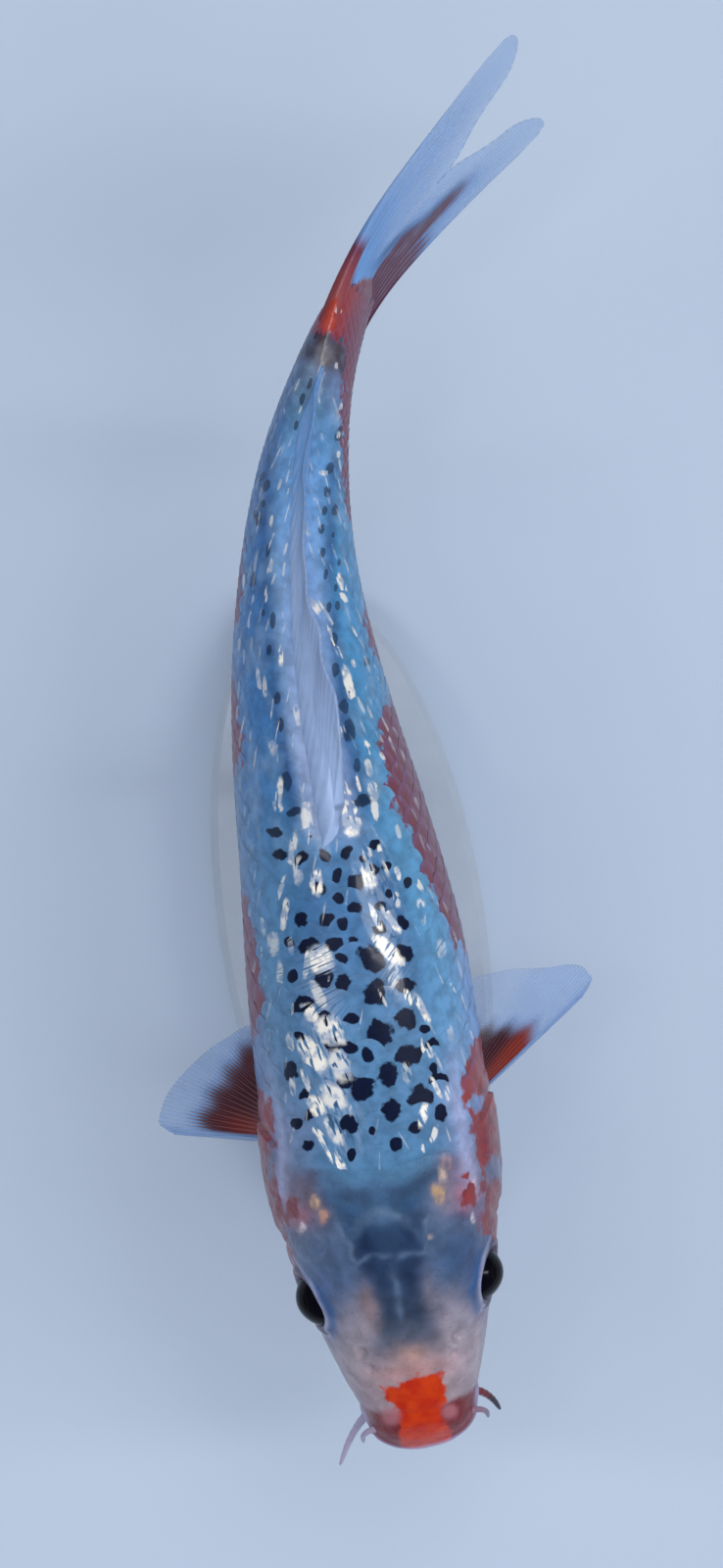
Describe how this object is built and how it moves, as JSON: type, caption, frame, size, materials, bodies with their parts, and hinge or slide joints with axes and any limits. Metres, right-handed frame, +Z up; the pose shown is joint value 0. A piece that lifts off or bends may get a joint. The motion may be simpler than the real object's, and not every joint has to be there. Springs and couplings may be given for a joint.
{
  "type": "koi carp model",
  "caption": "Life-size young koi carp, swimming with its tail curved aside and fins spread, on a low oval display stand with short rods.",
  "frame": {"origin": "middle of the stand base's flat underside, below the fish's centre of mass", "axes": "+Z up, +Y from the fish's head towards its tail, +X to the fish's left; the snout points along -Y"},
  "size_m": [0.0661, 0.2135, 0.0862],
  "materials": {
    "head_skin": "wet, smooth, translucent over a grey skull, orange at the snout",
    "gill_covers": "wet, smooth, red with pale pearly bands",
    "lips": "wet, smooth, red with a pale rim",
    "scaled_skin": "wet overlapping scales, pale blue-grey with dark centres and glittering edges, red along the flanks",
    "eyes": "clear gloss over a dark pupil and a thin pale ring",
    "barbels": "wet, smooth",
    "pectoral_fins": "thin membrane on fine rays, red-brown at the root, clear at the edge",
    "pale_fins": "thin membrane on fine rays, pearly white",
    "tail_fin": "thin membrane on fine rays, red at the root, clear bluish white at the tips",
    "stand_base": "plain pale satin",
    "stand_rods": "fine lengthwise brushing"
  },
  "bodies": {
    "root": {"head": "head_skin", "upper_lip": "lips", "lower_jaw": "lips", "trunk": "scaled_skin", "tail_stem": "scaled_skin", "gill_cover_left": "gill_covers", "gill_cover_right": "gill_covers", "eye_left": "eyes", "eye_right": "eyes", "barbel_long_left": "barbels", "barbel_long_right": "barbels", "barbel_short_left": "barbels", "barbel_short_right": "barbels", "pectoral_fin_left": "pectoral_fins", "pectoral_fin_right": "pectoral_fins", "pelvic_fin_left": "pale_fins", "pelvic_fin_right": "pale_fins", "dorsal_fin": "pale_fins", "anal_fin": "pale_fins", "caudal_fin_upper": "tail_fin", "caudal_fin_lower": "tail_fin", "stand_base": "stand_base", "stand_rod_front": "stand_rods", "stand_rod_rear": "stand_rods"}
  },
  "joints": []
}
